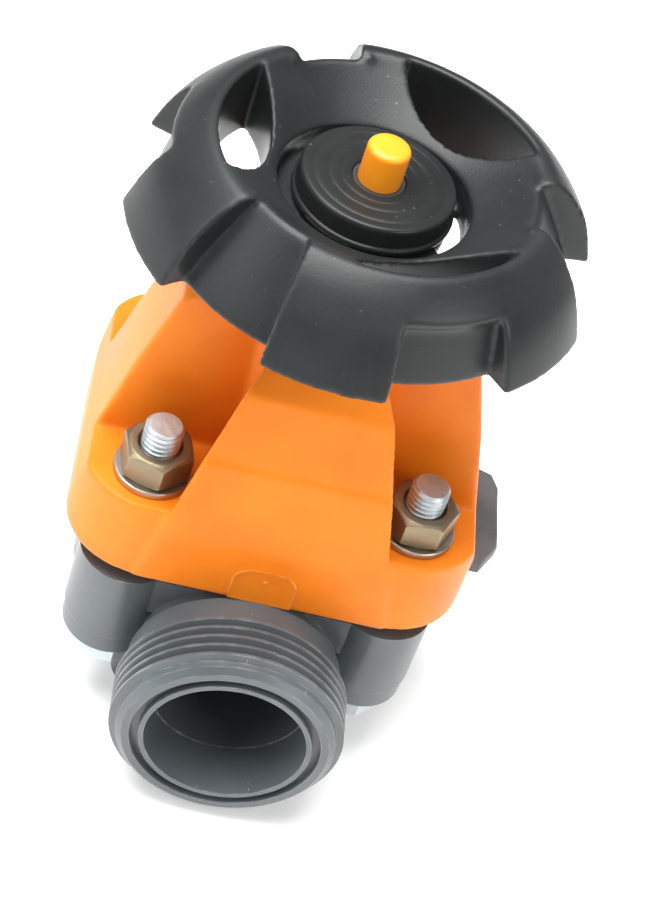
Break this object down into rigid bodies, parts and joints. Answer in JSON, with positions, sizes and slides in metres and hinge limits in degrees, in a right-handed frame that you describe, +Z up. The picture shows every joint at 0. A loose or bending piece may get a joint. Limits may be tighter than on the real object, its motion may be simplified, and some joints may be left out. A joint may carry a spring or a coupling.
{
  "type": "diaphragm valve",
  "caption": "Weir-type diaphragm valve with threaded union ends, bolted orange bonnet, lobed black handwheel and rising position indicator.",
  "frame": {"origin": "centre of the base pad's underside, on the spindle's axis", "axes": "+Z up the spindle towards the handwheel; the pipe runs along Y, and the port shown in front faces -Y; +X is to the right, where the diaphragm's tab is"},
  "size_m": [0.0958, 0.1046, 0.1407],
  "materials": {
    "body_grey": "satin dark grey moulded PVC-U",
    "bonnet_orange": "satin orange glass-filled polypropylene",
    "wheel_black": "satin black, finely grained",
    "cap_black": "gloss black with fine turned rings",
    "indicator_orange": "satin yellow-orange",
    "diaphragm_rubber": "matt black moulded rubber",
    "seal_rubber": "matt black rubber",
    "dark_plastic": "satin dark grey",
    "bearing_plastic": "satin off-white",
    "stainless": "turned stainless steel",
    "spring_steel": "dark spring steel",
    "zinc_steel": "bright zinc plated",
    "chromate_nut": "olive yellow chromate, satin",
    "brass": "machined brass"
  },
  "bodies": {
    "valve": {"valve_body": "body_grey", "base_inserts": "brass", "diaphragm": "diaphragm_rubber", "bonnet": "bonnet_orange", "lower_thrust_ring": "bearing_plastic", "upper_thrust_ring": "bearing_plastic", "retaining_ring": "dark_plastic", "bolts": "zinc_steel", "bottom_washers": "zinc_steel", "top_washers": "zinc_steel", "hex_nuts": "chromate_nut"},
    "wheel": {"handwheel": "wheel_black", "wheel_clip": "spring_steel", "hub_cap": "cap_black", "pin_seal": "seal_rubber", "spindle_nut": "brass", "nut_seal": "seal_rubber"},
    "spindle": {"stem": "stainless", "cross_pin": "stainless", "compressor": "dark_plastic", "diaphragm_stud": "stainless", "indicator_pin": "indicator_orange"}
  },
  "joints": [
    {"name": "wheel_turn", "type": "hinge", "parent": "valve", "child": "wheel", "pos_m": [0, 0, 0.119], "axis": [0, 0, 1], "range_deg": [-960, 0]},
    {"name": "stem_travel", "type": "slide", "parent": "valve", "child": "spindle", "axis": [0, 0, 1], "range_m": [-0.008, 0], "deforming": ["diaphragm"]}
  ],
  "couplings": [
    {"joint": "stem_travel", "follows": "wheel_turn", "m_per_rad": 0.00047746}
  ]
}
